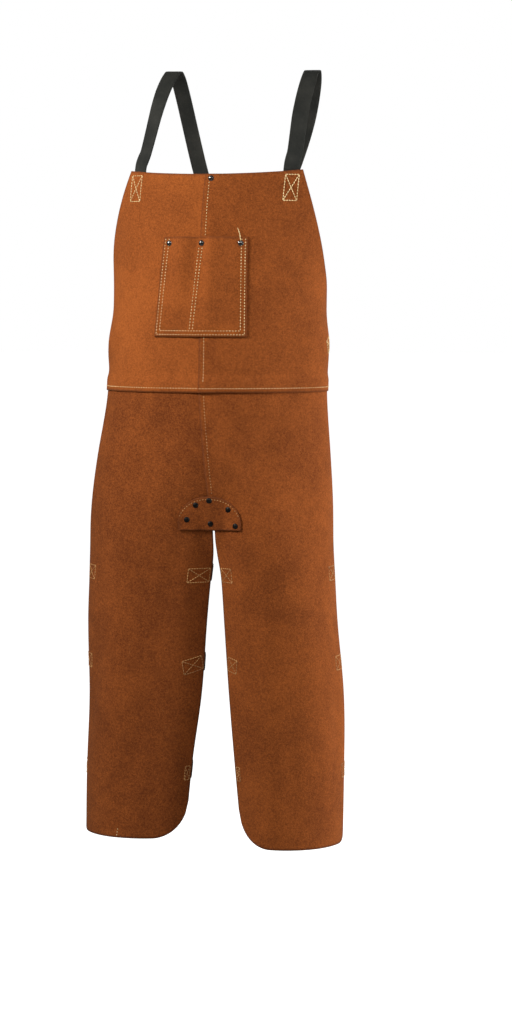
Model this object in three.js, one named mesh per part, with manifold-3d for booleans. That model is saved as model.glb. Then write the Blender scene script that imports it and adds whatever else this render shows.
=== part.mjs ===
// Split-leg leather welding apron in its worn shape. Millimetres, +Z up, front toward -Y.
// The origin is midway between the tops of the two shoulder straps.
// Right and left are the wearer's: right is -X, left is +X.
import * as THREE from 'three';
import { mergeVertices } from 'three/addons/utils/BufferGeometryUtils.js';
import Module from 'manifold-3d';

const wasm = await Module();
wasm.setup();

// Leather and webbing
const LEATHER = 1.8;
const GAP = 0.35;
const LAYER = LEATHER + GAP;
const WEBBING_WIDTH = 25.4;
const WEBBING = 1.5;
const WEBBING_DEPTH = -(LEATHER / 2 + 0.9 + WEBBING / 2);
const TAB_PRESS = 2.1;

// Flat pattern: heights, and half widths measured along the leather from the centre seam
const BIB_TOP = -160;
const BIB_DIP = 7;
const BIB_TOP_HALF = 146;
const EAR = -411;
const WAIST = -498;
const WAIST_LAP = 8;
const SPLIT = -727;
const HALF_WIDTH = 254;
const SEAM_LAP = 6;
const SEAM_STEP = 28;
const VALLEY_STEP = 0.42;
const SPLIT_GAP = 2.5;
const FOLD_GAP = 1.1;
const HEM = { right: -1214, left: -1227 };
const HEM_CORNER = 58;

// Pocket and patch, in lengths along the leather; + is toward the wearer's left
const POCKET = { top: -264, bottom: -419, left: 68, right: -66, rightFlare: -14, bulge: 9, flat: 14 };
const DIVIDER = { top: -4, bottom: -18, flat: 5 };
const RIVET_REST = 0.9;
const PATCH = { centre: -4, half: 58, bottom: -721, end: 8, rise: 46 };

// Webbing ends and buckles
const SEWN_LENGTH = 42;
const STRAP_CENTRE = 128;
const BUCKLE_AT = { waist: 324, leg: 350 };
const LEG_STRAPS = { thigh: -794, knee: -937, calf: -1111 };
const WAIST_STRAP = { height: -437, slope: 0.46, from: 228 };
const YOKE = { width: 104, height: 84, z: -312, y: 121, corner: 16 };
const BUCKLE = { width: 33, depth: 10.6, body: 26, cavity: 22, bar: 31.5, plugBar: 18.5 };

// Stations of the body that the apron is worn on:
// height, side lean, turn about Z in degrees, half width, half depth
const TORSO = [
  [0, 0, 8, 180, 96], [-165, -22, 7, 185, 112], [-260, -32, 5.5, 178, 115],
  [-375, -37, 4, 171, 118], [-430, -39, 3.2, 177, 118], [-512, -42, 2, 176, 117],
  [-620, -47, -4, 187, 118], [-735, -49, -8, 196, 118], [-800, -49, -8, 196, 118],
];
// Height, inner and outer side of each leg, half depth
const LEG = {
  right: [[-600, -31, -244, 112], [-735, -31, -245, 110], [-805, -39, -247, 106], [-869, -45, -249, 104],
    [-983, -54, -247, 100], [-1097, -70, -251, 97], [-1230, -83, -254, 94]],
  left: [[-600, -31, 145, 112], [-735, -31, 145, 110], [-805, -24, 148, 106], [-869, -20, 152, 104],
    [-983, -13, 162, 100], [-1097, -4, 164, 97], [-1230, 8, 161, 94]],
};
const INNER_TURN = THREE.MathUtils.degToRad(40);
const LEG_CENTRE_Y = -6;
const LEG_FROM = -600;
const LEG_TO = -782;
const NORMAL_REACH = 7;
const BRIDGE = 34;

const { lerp, smoothstep, degToRad } = THREE.MathUtils;
const Z = new THREE.Vector3(0, 0, 1);
const sideOf = (sign) => (sign > 0 ? 'left' : 'right');

// Values of a row of stations at height z, on a smooth curve through them
function along(stations, z) {
  const last = stations.length - 1;
  const at = stations.findIndex((row) => z >= row[0]);
  if (at === 0) return stations[0].slice(1);
  if (at < 0) return stations[last].slice(1);
  const [a, b] = [stations[at - 1], stations[at]];
  const before = stations[Math.max(at - 2, 0)];
  const after = stations[Math.min(at + 1, last)];
  const t = (z - a[0]) / (b[0] - a[0]);
  return a.slice(1).map((value, i) => {
    const k = i + 1;
    const span = b[0] - a[0];
    const slopeA = ((b[k] - before[k]) / (b[0] - before[0])) * span;
    const slopeB = ((after[k] - a[k]) / (after[0] - a[0])) * span;
    const t2 = t * t;
    const t3 = t2 * t;
    return (2 * t3 - 3 * t2 + 1) * value + (t3 - 2 * t2 + t) * slopeA
      + (3 * t2 - 2 * t3) * b[k] + (t3 - t2) * slopeB;
  });
}

// Angle reached on an ellipse after a length along it; angle 0 is on the half-width axis
function turnAfter(halfWidth, halfDepth, start, length) {
  const steps = Math.max(12, Math.ceil(Math.abs(length) / 8));
  const speed = (t) => Math.hypot(halfWidth * Math.sin(t), halfDepth * Math.cos(t));
  let turn = start;
  for (let i = 0; i < steps; i += 1) {
    const middle = turn + length / steps / speed(turn) / 2;
    turn += length / steps / speed(middle);
  }
  return turn;
}

function legEllipse(sign, z) {
  const [inner, outer, halfDepth] = along(LEG[sideOf(sign)], z);
  const halfWidth = Math.abs(outer - inner) / (1 + Math.cos(INNER_TURN));
  return { centre: outer - sign * halfWidth, halfWidth, halfDepth };
}

function onLeg(sign, s, z) {
  const { centre, halfWidth, halfDepth } = legEllipse(sign, z);
  const turn = turnAfter(halfWidth, halfDepth, INNER_TURN, s);
  const x = centre - sign * halfWidth * reachAcross(turn);
  return new THREE.Vector3(x, LEG_CENTRE_Y - halfDepth * Math.sin(turn), z);
}

// Cosine of the turn, held back on the inner thigh so that the two legs stay apart
function reachAcross(turn) {
  const start = Math.PI * 1.5;
  const end = Math.PI * 2 + INNER_TURN;
  if (turn <= start || turn >= end) return Math.cos(turn);
  return Math.cos(INNER_TURN) * Math.sin((Math.PI / 2) * (turn - start) / (end - start));
}

function onTorso(sign, s, z) {
  const [lean, yaw, halfWidth, halfDepth] = along(TORSO, z);
  const turn = turnAfter(halfWidth, halfDepth, Math.PI / 2, s);
  const x = -sign * halfWidth * Math.cos(turn);
  const y = -halfDepth * Math.sin(turn);
  const a = degToRad(yaw);
  return new THREE.Vector3(lean + x * Math.cos(a) + y * Math.sin(a), y * Math.cos(a) - x * Math.sin(a), z);
}

// The body's surface at a length s from the centre seam on one side, at height z
function onBody(sign, s, z) {
  const share = smoothstep(-z, -LEG_FROM, -LEG_TO);
  if (share === 0) return onTorso(sign, s, z);
  const leg = onLeg(sign, s, z);
  return share === 1 ? leg : onTorso(sign, s, z).lerp(leg, share);
}

// The middle of the leather: it follows the body, and bridges the hollow between the thighs
function worn(sign, s, z) {
  if (s < 0 && z > SPLIT) return worn(-sign, -s, z);
  const p = onBody(sign, s, z);
  const ease = smoothstep(-z, -LEG_FROM, 60 - LEG_FROM) * (1 - smoothstep(-z, -SPLIT, 70 - SPLIT));
  if (ease === 0 || s > BRIDGE || s < 0) return p;
  const near = onBody(sign, BRIDGE, z);
  const far = onBody(-sign, BRIDGE, z);
  const middle = near.clone().lerp(far, 0.5);
  const dip = onBody(sign, 0, z).sub(middle).multiplyScalar(0.5 * (1 - (s / BRIDGE) ** 2));
  return p.lerp(near.lerp(far, 0.5 - s / BRIDGE / 2).add(dip), ease);
}

function outward(sign, s, z) {
  const inner = z > SPLIT ? s - NORMAL_REACH : Math.max(0, s - NORMAL_REACH);
  const across = worn(sign, s + NORMAL_REACH, z).sub(worn(sign, inner, z));
  const down = worn(sign, s, z - 1).sub(worn(sign, s, z + 1));
  return down.cross(across).multiplyScalar(sign).normalize();
}

function offWorn(sign, s, z, offset) {
  return worn(sign, s, z).addScaledVector(outward(sign, s, z), offset);
}

function volume(geometry) {
  const p = geometry.attributes.position;
  const [a, b, c] = [new THREE.Vector3(), new THREE.Vector3(), new THREE.Vector3()];
  let sum = 0;
  for (let i = 0; i < geometry.index.count; i += 3) {
    a.fromBufferAttribute(p, geometry.index.getX(i));
    b.fromBufferAttribute(p, geometry.index.getX(i + 1));
    c.fromBufferAttribute(p, geometry.index.getX(i + 2));
    sum += a.dot(b.cross(c)) / 6;
  }
  return sum;
}

// A geometry with every vertex moved by place(), turned so that its faces point out
function bent(geometry, place) {
  geometry.clearGroups();
  geometry.deleteAttribute('normal');
  geometry.deleteAttribute('uv');
  const result = mergeVertices(geometry, 1e-4);
  const p = result.attributes.position;
  const v = new THREE.Vector3();
  for (let i = 0; i < p.count; i += 1) {
    const moved = place(v.fromBufferAttribute(p, i));
    p.setXYZ(i, moved.x, moved.y, moved.z);
  }
  if (volume(result) < 0) result.index.array.reverse();
  result.computeVertexNormals();
  return result;
}

// A sheet of leather over a grid; at(i, j) gives its length, height and offset, on one side
function sheet(columns, rows, at, thickness = LEATHER) {
  const grid = new THREE.BoxGeometry(columns, rows, thickness, columns, rows, 1);
  return bent(grid, (v) => {
    const { sign, s, z, offset } = at(Math.round(v.x + columns / 2), Math.round(rows / 2 - v.y));
    return offWorn(sign, s, z, offset + v.z);
  });
}

// Leather offset, in layers, where one panel steps over another near the centre seam
function seamStep(s, near, far) {
  return s <= SEAM_LAP ? near : lerp(far, near, smoothstep(SEAM_STEP - s, 0, SEAM_STEP - SEAM_LAP));
}

const INNER_LINES = [-SEAM_LAP, SEAM_LAP, 14, SEAM_STEP, 44, 60, 77, 94, 110];
const OUTER_COLUMNS = 8;

function lineAt(i, half) {
  const last = INNER_LINES.length - 1;
  return i <= last ? INNER_LINES[i] : lerp(110, half, (i - last) / OUTER_COLUMNS);
}

const COLUMNS = INNER_LINES.length - 1 + OUTER_COLUMNS;

function bibHalf(z) {
  return z > EAR ? lerp(HALF_WIDTH, BIB_TOP_HALF, (z - EAR) / (BIB_TOP - EAR)) : HALF_WIDTH;
}

function bibPanel(sign) {
  const rows = [BIB_TOP, -200, -236, -264, -300, -340, -380, EAR, -436, -458,
    WAIST + WAIST_LAP + 14, WAIST + WAIST_LAP, WAIST - WAIST_LAP];
  return sheet(COLUMNS, rows.length - 1, (i, j) => {
    const s = lineAt(i, bibHalf(rows[j]));
    const dip = j === 0 ? BIB_DIP * (1 - (s / BIB_TOP_HALF) ** 2) : 0;
    const overHips = j >= rows.length - 2 ? seamStep(s, 2, 1) : 0;
    const overBib = sign > 0 ? seamStep(s, 1, 0) : 0;
    return { sign, s, z: rows[j] - dip, offset: LAYER * (overHips + overBib) };
  });
}

function hipPanel(sign) {
  const rows = [WAIST + WAIST_LAP, WAIST - WAIST_LAP, -545, -580, -615, -650, -682, -706, SPLIT + FOLD_GAP];
  return sheet(COLUMNS, rows.length - 1, (i, j) => {
    const s = lineAt(i, HALF_WIDTH);
    const valley = VALLEY_STEP * smoothstep(-rows[j], -LEG_FROM, -SPLIT);
    return { sign, s, z: rows[j], offset: sign > 0 ? LAYER * seamStep(s, 1 + valley, 0) : 0 };
  });
}

// How far the hem rises near a side edge, on a round corner
function cornerRise(distance) {
  const inside = Math.max(0, HEM_CORNER - distance);
  return HEM_CORNER - Math.sqrt(HEM_CORNER ** 2 - inside ** 2);
}

function legPanel(sign) {
  const hem = HEM[sideOf(sign)];
  const rows = [SPLIT - FOLD_GAP, -752, -778, -815, -850, -890, -925, -960, -1000, -1045, -1090, -1130];
  const hemRows = 3;
  const last = rows.length - 1;
  return sheet(COLUMNS - 1, last + hemRows, (i, j) => {
    const s = i === 0 ? SPLIT_GAP : lineAt(i + 1, HALF_WIDTH);
    const bottom = hem + cornerRise(Math.min(s - SPLIT_GAP, HALF_WIDTH - s));
    const z = j <= last ? rows[j] : lerp(rows[last], bottom, (j - last) / hemRows);
    const fade = 1 - smoothstep(-z, -SPLIT, 30 - SPLIT);
    return { sign, s, z, offset: sign > 0 ? LAYER * seamStep(s, 1, 0) * fade : 0 };
  });
}

// Layers under something that lies over the centre seam; s is + toward the wearer's left
function overSeam(s) {
  return 1 + seamStep(Math.abs(s), 1, 0);
}

// Lengths across the pocket at a height: its edges, the two compartments and the divider
function pocketLines(z) {
  const down = (z - POCKET.top) / (POCKET.bottom - POCKET.top);
  const right = POCKET.right + POCKET.rightFlare * down;
  const divider = lerp(DIVIDER.top, DIVIDER.bottom, down);
  return {
    right,
    narrow: [right + POCKET.flat, divider - DIVIDER.flat],
    wide: [divider + DIVIDER.flat, POCKET.left - POCKET.flat],
    left: POCKET.left,
  };
}

// How far the pocket stands off the bib: it gapes between the rivets and is flat at its seams
function pocketOffset(s, z) {
  const { narrow, wide } = pocketLines(z);
  const [from, to] = s < narrow[1] ? narrow : wide;
  const share = Math.min(1, Math.max(0, (s - from) / (to - from)));
  const up = (z - POCKET.bottom) / (POCKET.top - POCKET.bottom);
  const open = POCKET.bulge * Math.sin(Math.PI * share) ** 0.8 * smoothstep(up, 0.05, 0.9);
  return LAYER * overSeam(s) + 0.5 + open;
}

function pocketPanel() {
  const rows = 7;
  const split = 5;
  const columns = 2 * split + 3;
  return sheet(columns, rows, (i, j) => {
    const z = lerp(POCKET.top, POCKET.bottom, j / rows);
    const { right, narrow, wide, left } = pocketLines(z);
    let s = i === 0 ? right : left;
    if (i > 0 && i <= split + 1) s = lerp(...narrow, (i - 1) / split);
    if (i > split + 1 && i < columns) s = lerp(...wide, (i - split - 2) / split);
    return { sign: s < 0 ? -1 : 1, s: Math.abs(s), z, offset: pocketOffset(s, z) };
  });
}

function crotchPatch() {
  const lines = [-58, -53, -43, -30, -16, -4, 4, 16, 30, 43, 53, 58];
  const rows = 3;
  return sheet(lines.length - 1, rows, (i, j) => {
    const s = PATCH.centre + lines[i];
    const height = PATCH.end + PATCH.rise * Math.sqrt(1 - (lines[i] / PATCH.half) ** 2);
    const z = PATCH.bottom + height * (1 - j / rows);
    return { sign: s < 0 ? -1 : 1, s: Math.abs(s), z, offset: patchOffset(s) };
  });
}

function patchOffset(s) {
  return LAYER * (overSeam(s) + VALLEY_STEP) + 0.8;
}

// A shape with the place it stands at: its middle and its three directions
function placed(shape, position, x, y, z) {
  return { shape, matrix: new THREE.Matrix4().makeBasis(x, y, z).setPosition(position) };
}

// A domed rivet cap that stands on the leather
function rivetCap(s, z, offset) {
  const sign = s < 0 ? -1 : 1;
  const profile = [[0, 0], [4.4, 0], [4.3, 0.6], [3.4, 1.25], [1.8, 1.6], [0, 1.7]];
  const cap = new THREE.LatheGeometry(profile.map(([r, h]) => new THREE.Vector2(r, h)), 12);
  cap.rotateX(Math.PI / 2);
  const normal = outward(sign, Math.abs(s), z);
  const x = Z.clone().cross(normal).normalize();
  const at = offWorn(sign, Math.abs(s), z, offset + LEATHER / 2 + GAP);
  return placed(cap, at, x, normal.clone().cross(x), normal);
}

// Webbing through stations of { p, w }: the middle of the band and its width direction
function ribbon(stations, perStation = 2) {
  const middle = new THREE.CatmullRomCurve3(stations.map(({ p }) => p));
  const widths = new THREE.CatmullRomCurve3(stations.map(({ w }) => w));
  const steps = (stations.length - 1) * perStation;
  const band = new THREE.BoxGeometry(steps, WEBBING_WIDTH, WEBBING, steps, 1, 1);
  return bent(band, (v) => {
    const t = Math.round(v.x + steps / 2) / steps;
    const tangent = middle.getTangent(t);
    const normal = tangent.clone().cross(widths.getPoint(t)).normalize();
    const width = normal.clone().cross(tangent);
    return middle.getPoint(t).addScaledVector(width, v.y).addScaledVector(normal, v.z);
  });
}

// The line on the body that a strap follows: a point and frame at length s from the seam
function legTrack(sign, z) {
  return (s) => trackFrame(sign, s, z, 0);
}

function waistTrack(sign) {
  const height = (s) => WAIST_STRAP.height + WAIST_STRAP.slope * (s - WAIST_STRAP.from);
  return (s) => trackFrame(sign, s, height(s), WAIST_STRAP.slope);
}

function trackFrame(sign, s, z, slope) {
  const p = worn(sign, s, z);
  const normal = outward(sign, s, z);
  const tangent = worn(sign, s + 1, z + slope).sub(worn(sign, s - 1, z - slope)).normalize();
  return { p, n: normal, t: tangent, w: normal.clone().cross(tangent).normalize() };
}

// A strap's stations near a straight buckle: on the buckle's line close to it, on the body beyond
function besideBuckle(track, at) {
  const base = track(at);
  const buckle = base.p.clone().addScaledVector(base.n, BUCKLE.depth / 2 - 4);
  return {
    origin: buckle,
    frame: base,
    station(distance, offset, press = 0) {
      const on = track(at + distance);
      const share = smoothstep(Math.abs(distance), 32, 66);
      const straight = buckle.clone().addScaledVector(base.t, distance).addScaledVector(base.n, offset);
      const wrapped = on.p.clone().addScaledVector(on.n, WEBBING_DEPTH - press + offset * (1 - share));
      const twist = smoothstep(Math.abs(distance), 36, 72);
      return { p: straight.lerp(wrapped, share), w: base.w.clone().lerp(on.w, twist) };
    },
  };
}

// Webbing round a buckle's bar: in on one face, half a turn, and back on the other
function barTurn(near, bar, inFace, away) {
  const radius = 2.8;
  const turns = [90, 60, 30, 0, -30, -60, -90].map(degToRad);
  return turns.map((a) => near.station(
    bar - away * radius * Math.cos(a), inFace * radius * Math.sin(a)));
}

function tabStations(track, at) {
  const near = besideBuckle(track, at);
  const sewnFrom = HALF_WIDTH - 5 - SEWN_LENGTH - at;
  const edge = HALF_WIDTH - at;
  const bar = -BUCKLE.bar;
  const sewn = [0, 9, 18, 27, 36, 45].map((d) => near.station(sewnFrom + d, 0, TAB_PRESS));
  const turn = barTurn(near, bar, 1, -1);
  return [...sewn, near.station(edge + 6, 0, TAB_PRESS), near.station(bar - 8, 1.6), ...turn,
    near.station(bar - 7, -2.2), near.station(bar - 20, -2.1)];
}

function plugStations(track, at, tail) {
  const near = besideBuckle(track, at);
  const bar = BUCKLE.plugBar;
  const turn = barTurn(near, bar, 1, 1);
  const out = [tail, tail - 14, 24, 9].map((d) => near.station(bar + d, 2.8));
  return [...out, ...turn, near.station(bar + 8, -2.2), near.station(bar + 26, -0.8)];
}

function box(x0, x1, y0, y1, z0, z1) {
  return new THREE.BoxGeometry(x1 - x0, y1 - y0, z1 - z0)
    .translate((x0 + x1) / 2, (y0 + y1) / 2, (z0 + z1) / 2);
}

function solid(geometry) {
  const copy = geometry.clone();
  copy.deleteAttribute('normal');
  copy.deleteAttribute('uv');
  const merged = mergeVertices(copy, 1e-4);
  return new wasm.Manifold(new wasm.Mesh({
    numProp: 3,
    vertProperties: new Float32Array(merged.attributes.position.array),
    triVerts: new Uint32Array(merged.index.array),
  }));
}

function fromSolid(manifold) {
  const mesh = manifold.getMesh();
  const geometry = new THREE.BufferGeometry();
  geometry.setAttribute('position', new THREE.BufferAttribute(new Float32Array(mesh.vertProperties), 3));
  geometry.setIndex(Array.from(mesh.triVerts));
  geometry.computeVertexNormals();
  return geometry;
}

function joined(geometries) {
  return geometries.map(solid).reduce((a, b) => a.add(b));
}

function roundedPlate(x0, x1, half, corner, thickness) {
  const shape = new THREE.Shape();
  shape.moveTo(x0 + corner, -half).lineTo(x1 - corner, -half);
  shape.absarc(x1 - corner, corner - half, corner, -Math.PI / 2, 0);
  shape.absarc(x1 - corner, half - corner, corner, 0, Math.PI / 2);
  shape.absarc(x0 + corner, half - corner, corner, Math.PI / 2, Math.PI);
  shape.absarc(x0 + corner, corner - half, corner, Math.PI, Math.PI * 1.5);
  return new THREE.ExtrudeGeometry(shape, { depth: thickness, bevelEnabled: false, curveSegments: 2 })
    .translate(0, 0, -thickness / 2);
}

function barAcross(x) {
  return new THREE.CylinderGeometry(1.5, 1.5, 28, 8).translate(x, 0, 0);
}

// Buckle socket: mouth at x = 0, webbing bar at the far end
function socketSolid() {
  const half = BUCKLE.width / 2;
  const block = roundedPlate(-BUCKLE.body, 0, half, 3, BUCKLE.depth);
  const rails = [-1, 1].map((side) => box(-33, -25, side * 14.6 - 1.4, side * 14.6 + 1.4, -2.6, 2.6));
  const cavity = box(-BUCKLE.cavity, 1, -12.8, 12.8, -3, 3);
  const window = box(-17, -7, -20, 20, -2.2, 2.2);
  return joined([block, ...rails, barAcross(-BUCKLE.bar)]).subtract(solid(cavity)).subtract(solid(window));
}

// Buckle plug: shoulder outside the mouth, three prongs inside, webbing bar at the far end
function plugSolid() {
  const shoulder = roundedPlate(0.4, 8.4, 15.5, 2, 9.2);
  const rails = [-1, 1].map((side) => box(7, 20, side * 14.4 - 1.4, side * 14.4 + 1.4, -2.6, 2.6));
  const arms = [-1, 1].map((side) => box(-20, 2, side * 10.4 - 1.8, side * 10.4 + 1.8, -2.2, 2.2));
  const guide = box(-19, 2, -3, 3, -2.2, 2.2);
  return joined([shoulder, ...rails, ...arms, guide, barAcross(BUCKLE.plugBar)]);
}

const socketShape = fromSolid(socketSolid());
const plugShape = fromSolid(plugSolid());

function buckled(shape, track, at) {
  const { origin, frame } = besideBuckle(track, at);
  return placed(shape, origin, frame.t, frame.w, frame.n);
}

function legLoop(sign, z) {
  const { halfWidth, halfDepth } = legEllipse(sign, z);
  const steps = 360;
  let length = 0;
  for (let i = 0; i < steps; i += 1) {
    const t = ((i + 0.5) / steps) * Math.PI * 2;
    length += Math.hypot(halfWidth * Math.sin(t), halfDepth * Math.cos(t)) * (Math.PI * 2 / steps);
  }
  return length;
}

function legWebbing(sign, z) {
  const track = legTrack(sign, z);
  const near = besideBuckle(track, BUCKLE_AT.leg);
  const loop = legLoop(sign, z);
  const from = BUCKLE_AT.leg + BUCKLE.plugBar + 44;
  const inner = loop + SPLIT_GAP;
  const round = [];
  const end = inner - BUCKLE_AT.leg;
  for (let i = 0; i < 10; i += 1) round.push(near.station(lerp(from - BUCKLE_AT.leg, end, i / 10), 0));
  const sewn = [-2, 5, 14, 23, 32, 5 + SEWN_LENGTH].map((d) => near.station(end + d, 0, TAB_PRESS));
  return ribbon([...plugStations(track, BUCKLE_AT.leg, 62), ...round, ...sewn], 1);
}

// Shoulder webbing: sewn behind the bib corner, over the shoulder, down to the yoke
const SHOULDER_POINTS = {
  left: [[95, -88, -132], [99, -64, -78], [105, -34, -32], [110.5, -8, -4.5], [110.5, 18, -3],
    [106, 54, -24], [92, 88, -78], [66, 108, -150], [34, 119, -220], [8, 121, -268]],
  right: [[-143, -69, -132], [-130, -62, -78], [-121, -36, -34], [-111, -8, -4.5], [-110, 18, -3],
    [-108, 54, -24], [-100, 86, -78], [-86, 106, -150], [-68, 119, -220], [-54, 121, -268]],
};

function shoulderWebbing(sign) {
  const sewn = [-206, -192, -178, -164, -150].map((z) => {
    const p = offWorn(sign, STRAP_CENTRE, z, WEBBING_DEPTH - 0.5);
    const w = worn(sign, STRAP_CENTRE + sign, z).sub(worn(sign, STRAP_CENTRE - sign, z)).normalize();
    return { p, w };
  });
  const points = SHOULDER_POINTS[sideOf(sign)];
  const free = points.map(([x, y, z], i) => {
    const turn = smoothstep(i, 0, 3);
    const back = smoothstep(i, 5, 9);
    const w = sewn[4].w.clone().lerp(new THREE.Vector3(1, 0, 0), turn);
    return { p: new THREE.Vector3(x, y, z), w: w.lerp(new THREE.Vector3(0.92, 0, sign * 0.4), back) };
  });
  const last = free[free.length - 1];
  const end = last.p.clone().add(new THREE.Vector3(-sign * 9, 0, -22));
  return ribbon([...sewn, ...free, { p: end, w: last.w.clone() }]);
}

function backWebbing(sign) {
  const track = waistTrack(sign);
  const near = besideBuckle(track, BUCKLE_AT.waist);
  const yokeX = along(TORSO, YOKE.z)[0];
  const round = [56, 68].map((d) => near.station(d, 0));
  const flat = [[66, -41], [50, -34], [34, -27], [18, -20]].map(([x, z]) => (
    { p: new THREE.Vector3(yokeX + sign * x, YOKE.y, YOKE.z + z), w: new THREE.Vector3(sign * 0.4, 0, 1) }));
  const stations = [...plugStations(track, BUCKLE_AT.waist, 58), ...round, ...flat];
  for (const station of stations) if (station.w.z < 0) station.w.negate();
  return ribbon(stations, 1);
}

function yokePlate(offset) {
  const plate = roundedPlate(-YOKE.width / 2, YOKE.width / 2, YOKE.height / 2, YOKE.corner, LEATHER);
  const at = new THREE.Vector3(along(TORSO, YOKE.z)[0], YOKE.y + offset, YOKE.z);
  return placed(plate, at, new THREE.Vector3(1, 0, 0), new THREE.Vector3(0, 0, 1), new THREE.Vector3(0, -1, 0));
}

const LOOKS = {
  leather: { color: 0xa86138, roughness: 0.92, metalness: 0 },
  webbing: { color: 0x2e302d, roughness: 0.85, metalness: 0 },
  buckle: { color: 0x17181a, roughness: 0.45, metalness: 0 },
  rivet: { color: 0x2a2826, roughness: 0.35, metalness: 0.9 },
};

const apron = new THREE.Group();

function add(name, part, look) {
  const mesh = new THREE.Mesh(part.shape ?? part, new THREE.MeshStandardMaterial(LOOKS[look]));
  mesh.name = name;
  if (part.matrix) mesh.applyMatrix4(part.matrix);
  apron.add(mesh);
}

for (const sign of [-1, 1]) {
  const side = sideOf(sign);
  add(`bib_panel_${side}`, bibPanel(sign), 'leather');
  add(`hip_panel_${side}`, hipPanel(sign), 'leather');
  add(`leg_panel_${side}`, legPanel(sign), 'leather');
  add(`shoulder_webbing_${side}`, shoulderWebbing(sign), 'webbing');
  add(`back_webbing_${side}`, backWebbing(sign), 'webbing');
  add(`waist_tab_${side}`, ribbon(tabStations(waistTrack(sign), BUCKLE_AT.waist)), 'webbing');
  add(`waist_socket_${side}`, buckled(socketShape, waistTrack(sign), BUCKLE_AT.waist), 'buckle');
  add(`waist_plug_${side}`, buckled(plugShape, waistTrack(sign), BUCKLE_AT.waist), 'buckle');
  for (const [level, z] of Object.entries(LEG_STRAPS)) {
    const track = legTrack(sign, z);
    add(`${level}_webbing_${side}`, legWebbing(sign, z), 'webbing');
    add(`${level}_tab_${side}`, ribbon(tabStations(track, BUCKLE_AT.leg)), 'webbing');
    add(`${level}_socket_${side}`, buckled(socketShape, track, BUCKLE_AT.leg), 'buckle');
    add(`${level}_plug_${side}`, buckled(plugShape, track, BUCKLE_AT.leg), 'buckle');
  }
}

add('chest_pocket', pocketPanel(), 'leather');
add('crotch_patch', crotchPatch(), 'leather');
add('yoke_outer', yokePlate(LEATHER / 2 + WEBBING / 2 + GAP), 'leather');
add('yoke_inner', yokePlate(-LEATHER / 2 - WEBBING / 2 - GAP), 'leather');
add('seam_rivet', rivetCap(4, -174, LAYER), 'rivet');

const POCKET_RIVETS = { right: -57, middle: -3, left: 57 };
for (const [name, s] of Object.entries(POCKET_RIVETS)) {
  add(`pocket_rivet_${name}`, rivetCap(s, -274, pocketOffset(s, -274) + RIVET_REST), 'rivet');
}

const PATCH_RIVETS = { top: [-4, -673], top_right: [-29, -681], top_left: [31, -688],
  low_right: [-47, -704], middle: [-6, -710], low_left: [45, -714] };
for (const [name, [s, z]] of Object.entries(PATCH_RIVETS)) {
  add(`patch_rivet_${name}`, rivetCap(s, z, patchOffset(s) + RIVET_REST), 'rivet');
}

export default apron;
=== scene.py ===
import math
import bmesh
import bpy
import numpy as np
from mathutils import Matrix, Vector


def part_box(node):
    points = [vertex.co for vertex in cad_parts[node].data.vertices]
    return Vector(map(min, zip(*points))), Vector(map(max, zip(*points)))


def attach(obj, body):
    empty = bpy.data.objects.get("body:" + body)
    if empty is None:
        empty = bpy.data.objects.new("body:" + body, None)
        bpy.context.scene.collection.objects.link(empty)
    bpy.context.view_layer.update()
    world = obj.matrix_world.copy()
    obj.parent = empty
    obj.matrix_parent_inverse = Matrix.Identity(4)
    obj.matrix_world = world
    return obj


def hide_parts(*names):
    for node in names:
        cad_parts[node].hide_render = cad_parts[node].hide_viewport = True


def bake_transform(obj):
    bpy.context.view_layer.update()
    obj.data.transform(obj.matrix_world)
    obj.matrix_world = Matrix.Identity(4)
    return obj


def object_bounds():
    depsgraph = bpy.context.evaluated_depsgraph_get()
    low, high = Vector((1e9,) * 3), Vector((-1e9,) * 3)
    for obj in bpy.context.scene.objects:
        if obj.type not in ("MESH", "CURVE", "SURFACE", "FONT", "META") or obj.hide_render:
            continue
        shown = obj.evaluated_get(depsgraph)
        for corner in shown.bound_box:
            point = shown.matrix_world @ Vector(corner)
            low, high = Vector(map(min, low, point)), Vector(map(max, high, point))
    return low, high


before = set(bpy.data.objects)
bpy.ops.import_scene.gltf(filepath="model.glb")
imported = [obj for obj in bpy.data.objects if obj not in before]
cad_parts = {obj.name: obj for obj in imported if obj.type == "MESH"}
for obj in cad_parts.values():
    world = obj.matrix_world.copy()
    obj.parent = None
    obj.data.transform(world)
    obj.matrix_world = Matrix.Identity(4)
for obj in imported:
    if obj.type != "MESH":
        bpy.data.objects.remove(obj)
cad_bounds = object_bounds()

# ---- View and studio -------------------------------------------------------------------------
# The apron hangs in its worn shape in front of a pale sweep, seen a little from the wearer's
# left at chest height, with broad soft lights from both sides.

VIEW_AZIMUTH = math.radians(8.0)
VIEW_ELEVATION = math.radians(4.5)
VIEW_DISTANCE = 4.5
VIEW_HEIGHT = 1.594
VIEW_CENTRE = (0.021, -0.6865)
SENSOR = 24.0
FLOOR_DROP = 0.25
FLOOR_HALF = 40
PAPER_GREY = (0.42, 0.42, 0.42, 1)
WHITE = (1, 1, 1, 1)
FLOOR_GLOW = 1.0
ROOM_LIGHT = 0.12
DAYLIGHT = (1.0, 0.98, 0.95)


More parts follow.
